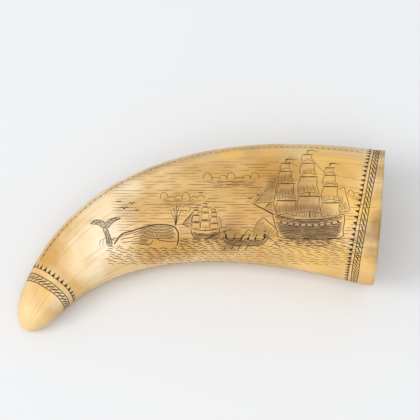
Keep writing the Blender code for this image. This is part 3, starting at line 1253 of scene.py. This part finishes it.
# The colour of old ivory, and painted light on it
# Cream where it was handled, amber where oil soaked in, and brown in ragged stains. Some patches
# are painted light: pale ones paint a highlight on the tip and lighten its shaded lower flank, and
# gold and cream ones lighten the top edge and the shaded bottom edge. Each patch has its place on
# the page, its size in millimetres, its colour and its strength.
CREAM = (0.82, 0.59, 0.29, 1)
HONEY = (0.68, 0.41, 0.13, 1)
AMBER = (0.58, 0.31, 0.07, 1)
BROWN = (0.33, 0.17, 0.05, 1)
GOLD = (0.86, 0.53, 0.14, 1)
PALE = (0.92, 0.78, 0.56, 1)
STAINS_AND_PAINTED_LIGHT = [
    (-20, 8, 30, HONEY, 0.45),
    (10, 12, 40, HONEY, 0.70),
    (45, 0, 34, HONEY, 0.75),
    (-69, -27, 9, HONEY, 0.45),
    (-67, -25, 7, GOLD, 0.40),
    (-73, -16, 8, AMBER, 0.20),
    (-60, -22, 9, AMBER, 0.50),
    (-67, -8, 9, AMBER, 0.65),
    (-64, -16, 6, BROWN, 0.20),
    # Pale ivory near the tip, which also paints a highlight on its left flank
    (-50, -4, 15, PALE, 0.65),
    (-44, 14, 13, PALE, 0.55),
    (-40, 1, 13, PALE, 0.72),
    (-40, -8, 9, PALE, 0.50),
    (-34, 20, 9, PALE, 0.60),
    (-31, 12, 9, BROWN, 0.20),
    (-17, -6, 13, AMBER, 0.85),
    # Painted light: cream and pale patches lighten the shaded lower flank of the tip
    (-34, -12, 8, CREAM, 0.60),
    (-48, -18, 8, PALE, 0.50),
    (-62, -28, 7, PALE, 0.50),
    (-10, -6, 10, AMBER, 0.60),
    (-9, 3, 9, BROWN, 0.20),
    (-16, 19, 10, BROWN, 0.18),
    (-3, 22, 11, BROWN, 0.16),
    (10, 26, 13, AMBER, 0.50),
    (16, 6, 10, BROWN, 0.36),
    (-4, 14, 13, HONEY, 0.60),
    (2, -2, 12, AMBER, 0.45),
    (11, -2, 10, BROWN, 0.75),
    (22, 27, 13, AMBER, 0.70),
    (32, 27, 14, AMBER, 0.90),
    (34, 23, 9, BROWN, 0.28),
    (26, 9, 15, AMBER, 0.60),
    (26, 20, 10, BROWN, 0.36),
    (16, 2, 6, BROWN, 0.20),
    (8, 18, 11, BROWN, 0.16),
    (47, 5, 13, BROWN, 0.66),
    (41, 14, 13, BROWN, 0.62),
    (42, 25, 9, BROWN, 0.30),
    (47, 21, 9, AMBER, 0.45),
    (48, 30, 8, AMBER, 0.45),
    (38, 31, 10, AMBER, 0.60),
    # Painted light: gold along the top edge paints the light it catches
    (12, 36, 9, GOLD, 0.85),
    (30, 37, 7, GOLD, 0.50),
    (51, 37, 8, GOLD, 0.70),
    # Painted light: cream along the bottom edge lightens its shade
    (44, -16, 8, CREAM, 0.60),
    (58, 30, 17, GOLD, 0.85),
    (68, 13, 14, GOLD, 0.90),
    (58, 24, 12, AMBER, 0.40),
    (70, 0, 8, BROWN, 0.50),
    # Painted light: gold along the bottom edge lightens its shade
    (48, -12, 13, GOLD, 0.60),
    (64, -12, 10, GOLD, 0.45),
    # Brown patches darken the rim at the root
    (78, 36, 6, BROWN, 0.60),
    (78, 27, 6, BROWN, 0.50),
    (77, 18, 6, BROWN, 0.35),
    (76, 8, 6, BROWN, 0.50),
    (74, 1, 8, BROWN, 0.80),
    (74, -8, 6, BROWN, 0.55),
]
STAIN_AND_LIGHT_FRAY = 1.3
STAIN_AND_LIGHT_CORE = 0.25
STAIN_AND_LIGHT_EDGE = 1.1
STREAKS = 0.22
POLISH = (0.30, 0.46)


def placed(tree):
    return node(tree, "ShaderNodeTexCoord", out=3)


def along_grain(tree, stretch):
    """Places that are drawn out along the tooth, for streaks that follow its grain."""
    return vectors(tree, "MULTIPLY", node(tree, "ShaderNodeUVMap", uv_map="skin"), Vector(stretch))


def noise(tree, place, scale, detail=2.0):
    return node(tree, "ShaderNodeTexNoise", [place, None, scale, detail])


def fall(tree, value, start, end):
    """1 below the start and 0 above the end, with a soft step between."""
    return node(tree, "ShaderNodeMapRange", [value, start, end, 1.0, 0.0], interpolation_type="SMOOTHSTEP")


def mixed(tree, where, strength, colour, other):
    """Mixes another colour in where a pattern is 1, up to a strength."""
    return blend(tree, sums(tree, "MULTIPLY", where, strength), colour, other, "RGBA")


def finish_with(shader, colour, roughness=None, relief=None, depth=0.0):
    tree = shader.id_data
    tree.links.new(colour, shader.inputs["Base Color"])
    if roughness is not None:
        tree.links.new(roughness, shader.inputs["Roughness"])
    if relief is not None:
        bump = tree.nodes.new("ShaderNodeBump")
        bump.inputs["Distance"].default_value = depth
        tree.links.new(relief, bump.inputs["Height"])
        tree.links.new(bump.outputs[0], shader.inputs["Normal"])


def ivory_colour(tree):
    place = placed(tree)
    cloudy = noise(tree, place, 34.0, 4.0)
    colour = blend(tree, fall(tree, cloudy, 0.62, 0.36), CREAM, HONEY, "RGBA")
    uneven = sums(tree, "SUBTRACT", noise(tree, place, 120.0, 5.0), 0.5)
    # Each patch mixes in its colour: real stains, and in places painted light
    for u, v, size, patch_colour, strength in STAINS_AND_PAINTED_LIGHT:
        far = vectors(tree, "DISTANCE", place, touch(u, v))
        frayed = sums(tree, "MULTIPLY_ADD", uneven, size * STAIN_AND_LIGHT_FRAY * MM, far)
        stain_and_light_share = fall(tree, frayed, size * STAIN_AND_LIGHT_CORE * MM, size * STAIN_AND_LIGHT_EDGE * MM)
        colour = mixed(tree, stain_and_light_share, strength, colour, patch_colour)
    streaks = noise(tree, along_grain(tree, (18.0, 420.0, 0.0)), 1.0, 3.0)
    return mixed(tree, fall(tree, streaks, 0.34, 0.52), STREAKS, colour, BROWN)


def shade_ivory():
    shader = principled(
        finishes["Ivory"], Subsurface_Weight=0.12, Subsurface_Scale=0.003, Specular_IOR_Level=0.4
    )
    tree = shader.id_data
    handled = noise(tree, placed(tree), 60.0, 4.0)
    rough = node(tree, "ShaderNodeMapRange", [handled, 0.3, 0.7, *POLISH])
    grain = noise(tree, along_grain(tree, (60.0, 900.0, 0.0)), 1.0, 3.0)
    finish_with(shader, ivory_colour(tree), rough, grain, 0.00006)


shade_ivory()

# The ink and the old dirt in the cracks
# Lampblack is rubbed into the cut lines, and has worn to brown in places. The cracks hold a
# paler brown dirt.
INK = (0.034, 0.020, 0.012, 1)
WORN_INK = (0.15, 0.075, 0.030, 1)
DARK_CRACK = (0.20, 0.10, 0.04, 1)
PALE_CRACK = (0.36, 0.20, 0.08, 1)


def shade_ink():
    shader = principled(finishes["Ink"], Roughness=0.62, Specular_IOR_Level=0.3)
    tree = shader.id_data
    worn = fall(tree, noise(tree, placed(tree), 260.0, 3.0), 0.30, 0.46)
    finish_with(shader, blend(tree, worn, INK, WORN_INK, "RGBA"))


def shade_crack():
    shader = principled(finishes["Age Crack"], Roughness=0.7)
    tree = shader.id_data
    finish_with(shader, blend(tree, noise(tree, placed(tree), 90.0), DARK_CRACK, PALE_CRACK, "RGBA"))


shade_ink()
shade_crack()

# The sawn face and the pulp hollow
# The root is sawn off and left rough, so its face shows the layers of growth, from the dark
# outer rim to the worn edge of the hollow. The hollow's wall is dry, rough and brown.
GROWTH_LAYERS = [
    (0.0, (0.34, 0.19, 0.08, 1)),
    (0.07, (0.72, 0.52, 0.28, 1)),
    (0.30, (0.80, 0.62, 0.38, 1)),
    (0.36, (0.40, 0.23, 0.10, 1)),
    (0.42, (0.78, 0.60, 0.36, 1)),
    (0.70, (0.84, 0.69, 0.46, 1)),
    (0.93, (0.70, 0.50, 0.27, 1)),
    (1.0, (0.38, 0.22, 0.10, 1)),
]
LAYER_WAVES = 0.30
SAW_SHADE = 0.30
DIRT = 0.45
RIM_CRACKS = 0.8
RIM_CRACK = (0.14, 0.07, 0.03, 1)
DARK_PULP = (0.12, 0.06, 0.025, 1)
PALE_PULP = (0.46, 0.30, 0.15, 1)


def shade_sawn_face():
    shader = principled(finishes["Sawn Face"], Roughness=0.6)
    tree = shader.id_data
    across = node(tree, "ShaderNodeAttribute", out=2, attribute_name="inside")
    uneven = sums(tree, "SUBTRACT", noise(tree, placed(tree), 90.0, 4.0), 0.5)
    wavy = sums(tree, "MULTIPLY_ADD", uneven, LAYER_WAVES, across)
    colour = node(tree, "ShaderNodeValToRGB", [wavy])
    ramp = colour.node.color_ramp
    for position, _ in GROWTH_LAYERS[1:-1]:
        ramp.elements.new(position)
    for layer, (_, shade) in zip(ramp.elements, GROWTH_LAYERS):
        layer.color = shade

    # The saw's marks, old dirt, and cracks that run in from the rim
    sawn_along = vectors(tree, "MULTIPLY", placed(tree), Vector((0.0, 1100.0, 70.0)))
    marks = noise(tree, sawn_along, 1.0, 3.0)
    dirt = noise(tree, placed(tree), 210.0, 5.0)
    colour = mixed(tree, fall(tree, marks, 0.36, 0.56), SAW_SHADE, colour, BROWN)
    colour = mixed(tree, fall(tree, dirt, 0.36, 0.56), DIRT, colour, HONEY)
    _, around, _ = xyz(tree, node(tree, "ShaderNodeUVMap", uv_map="skin"))
    inward = sums(tree, "MULTIPLY", across, 0.35)
    spokes = node(tree, "ShaderNodeCombineXYZ", [sums(tree, "MULTIPLY", around, 260.0), inward, 0.0])
    off_line = sums(tree, "ABSOLUTE", sums(tree, "SUBTRACT", noise(tree, spokes, 1.0, 0.6), 0.5))
    cracked = sums(tree, "MULTIPLY", fall(tree, off_line, 0.004, 0.016), fall(tree, across, 0.25, 0.8))
    colour = mixed(tree, cracked, RIM_CRACKS, colour, RIM_CRACK)
    finish_with(shader, colour, None, marks, 0.0003)


def shade_pulp_wall():
    shader = principled(finishes["Pulp Wall"], Roughness=0.85)
    tree = shader.id_data
    rough = noise(tree, placed(tree), 150.0, 5.0)
    finish_with(shader, blend(tree, rough, DARK_PULP, PALE_PULP, "RGBA"), None, rough, 0.0006)


shade_sawn_face()
shade_pulp_wall()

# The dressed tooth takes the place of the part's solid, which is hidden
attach(tooth, "root")
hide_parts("tooth")
